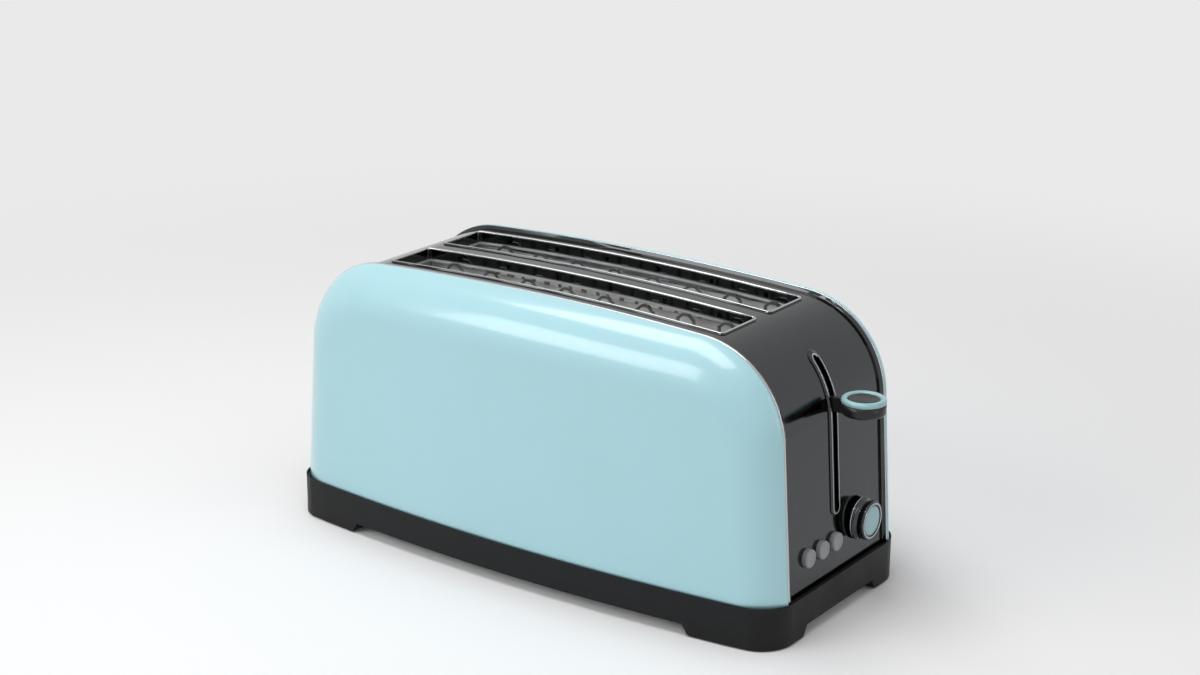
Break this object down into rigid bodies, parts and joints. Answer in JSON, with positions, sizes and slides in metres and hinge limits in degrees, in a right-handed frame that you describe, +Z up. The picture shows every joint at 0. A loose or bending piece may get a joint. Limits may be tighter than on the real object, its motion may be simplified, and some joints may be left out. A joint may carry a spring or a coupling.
{
  "type": "long-slot toaster",
  "caption": "Long-slot toaster with painted side panels, a chrome band, a side lever, browning knob, push buttons, wire guards, heater boards and a pull-out crumb tray.",
  "frame": {"origin": "on the table under the middle of the whole toaster, lever knob and tray grip included", "axes": "+X along the bread slots towards the lever and controls, +Y towards the rear long side, +Z up"},
  "size_m": [0.4138, 0.2024, 0.1873],
  "materials": {
    "painted_panel": "gloss",
    "dark_chrome": "mirror",
    "bright_chrome": "mirror",
    "black_plastic": "fine texture",
    "lever_black": "satin",
    "accent_blue": "satin",
    "button_grey": "satin",
    "galvanised_steel": "satin",
    "spring_steel": "satin",
    "mica": "matte",
    "heater_alloy": "matte",
    "rubber": "matte",
    "circuit_board": "satin",
    "white_plastic": "satin"
  },
  "bodies": {
    "chassis": {"base_housing": "black_plastic", "cable_gland": "black_plastic", "bottom_plate": "galvanised_steel", "end_frame_left": "galvanised_steel", "end_frame_right": "galvanised_steel", "top_frame": "galvanised_steel", "heat_shield_front": "galvanised_steel", "heat_shield_rear": "galvanised_steel", "tray_rails": "galvanised_steel", "guide_bracket": "galvanised_steel", "base_screws": "spring_steel", "frame_screws": "spring_steel", "guide_rod_front": "spring_steel", "guide_rod_rear": "spring_steel", "magnet_core": "spring_steel", "rubber_pad_front_left": "rubber", "rubber_pad_front_right": "rubber", "rubber_pad_rear_left": "rubber", "rubber_pad_rear_right": "rubber", "front_side_panel": "painted_panel", "rear_side_panel": "painted_panel", "chrome_band": "dark_chrome", "heater_board_front": "mica", "heater_board_centre": "mica", "heater_board_rear": "mica", "heater_ribbon_front": "heater_alloy", "heater_ribbon_centre": "heater_alloy", "heater_ribbon_rear": "heater_alloy", "terminal_block": "white_plastic", "mains_contacts": "white_plastic", "defrost_switch": "lever_black", "reheat_switch": "lever_black", "cancel_switch": "lever_black", "potentiometer": "lever_black", "control_board": "circuit_board"},
    "carriage": {"bread_lifter_front": "galvanised_steel", "bread_lifter_rear": "galvanised_steel", "carriage_guide_front": "white_plastic", "carriage_guide_rear": "white_plastic", "carriage_plate": "galvanised_steel", "magnet_keeper": "spring_steel", "lever_arm": "galvanised_steel", "lever_knob": "lever_black", "lever_knob_ring": "accent_blue", "lift_spring_front": "spring_steel", "lift_spring_rear": "spring_steel"},
    "browning_control": {"browning_knob": "bright_chrome", "browning_knob_cap": "accent_blue", "browning_knob_shaft": "spring_steel"},
    "defrost": {"defrost_button": "button_grey"},
    "reheat": {"reheat_button": "button_grey"},
    "cancel": {"cancel_button": "button_grey"},
    "tray": {"crumb_tray": "galvanised_steel", "crumb_tray_front": "black_plastic"},
    "guard_front_outer": {"bread_guard_front_outer": "spring_steel"},
    "guard_front_inner": {"bread_guard_front_inner": "spring_steel"},
    "guard_rear_inner": {"bread_guard_rear_inner": "spring_steel"},
    "guard_rear_outer": {"bread_guard_rear_outer": "spring_steel"}
  },
  "joints": [
    {"name": "carriage_slide", "type": "slide", "parent": "chassis", "child": "carriage", "axis": [0, 0, 1], "range_m": [-0.062, 0.015], "stiffness_N_per_m": 100, "springref_m": 0.0152, "deforming": ["lift_spring_front", "lift_spring_rear"]},
    {"name": "browning_turn", "type": "hinge", "parent": "chassis", "child": "browning_control", "pos_m": [0.1821, 0.027, 0.054], "axis": [1, 0, 0], "range_deg": [-135, 135]},
    {"name": "defrost_press", "type": "slide", "parent": "chassis", "child": "defrost", "axis": [-1, 0, 0], "range_m": [0, 0.0025], "stiffness_N_per_m": 400},
    {"name": "reheat_press", "type": "slide", "parent": "chassis", "child": "reheat", "axis": [-1, 0, 0], "range_m": [0, 0.0025], "stiffness_N_per_m": 400},
    {"name": "cancel_press", "type": "slide", "parent": "chassis", "child": "cancel", "axis": [-1, 0, 0], "range_m": [0, 0.0025], "stiffness_N_per_m": 400},
    {"name": "crumb_tray_slide", "type": "slide", "parent": "chassis", "child": "tray", "axis": [-1, 0, 0], "range_m": [0, 0.26]},
    {"name": "guard_front_outer_tilt", "type": "hinge", "parent": "chassis", "child": "guard_front_outer", "pos_m": [-0.0079, -0.041, 0.044], "axis": [1, 0, 0], "range_deg": [-3.6, 0.9]},
    {"name": "guard_front_inner_tilt", "type": "hinge", "parent": "chassis", "child": "guard_front_inner", "pos_m": [-0.0079, -0.013, 0.044], "axis": [1, 0, 0], "range_deg": [-0.9, 3.6]},
    {"name": "guard_rear_inner_tilt", "type": "hinge", "parent": "chassis", "child": "guard_rear_inner", "pos_m": [-0.0079, 0.013, 0.044], "axis": [1, 0, 0], "range_deg": [-3.6, 0.9]},
    {"name": "guard_rear_outer_tilt", "type": "hinge", "parent": "chassis", "child": "guard_rear_outer", "pos_m": [-0.0079, 0.041, 0.044], "axis": [1, 0, 0], "range_deg": [-0.9, 3.6]}
  ],
  "couplings": [
    {"joint": "guard_front_outer_tilt", "follows": "carriage_slide", "rad_per_m": 0.985},
    {"joint": "guard_front_inner_tilt", "follows": "carriage_slide", "rad_per_m": -0.985},
    {"joint": "guard_rear_inner_tilt", "follows": "carriage_slide", "rad_per_m": 0.985},
    {"joint": "guard_rear_outer_tilt", "follows": "carriage_slide", "rad_per_m": -0.985}
  ]
}
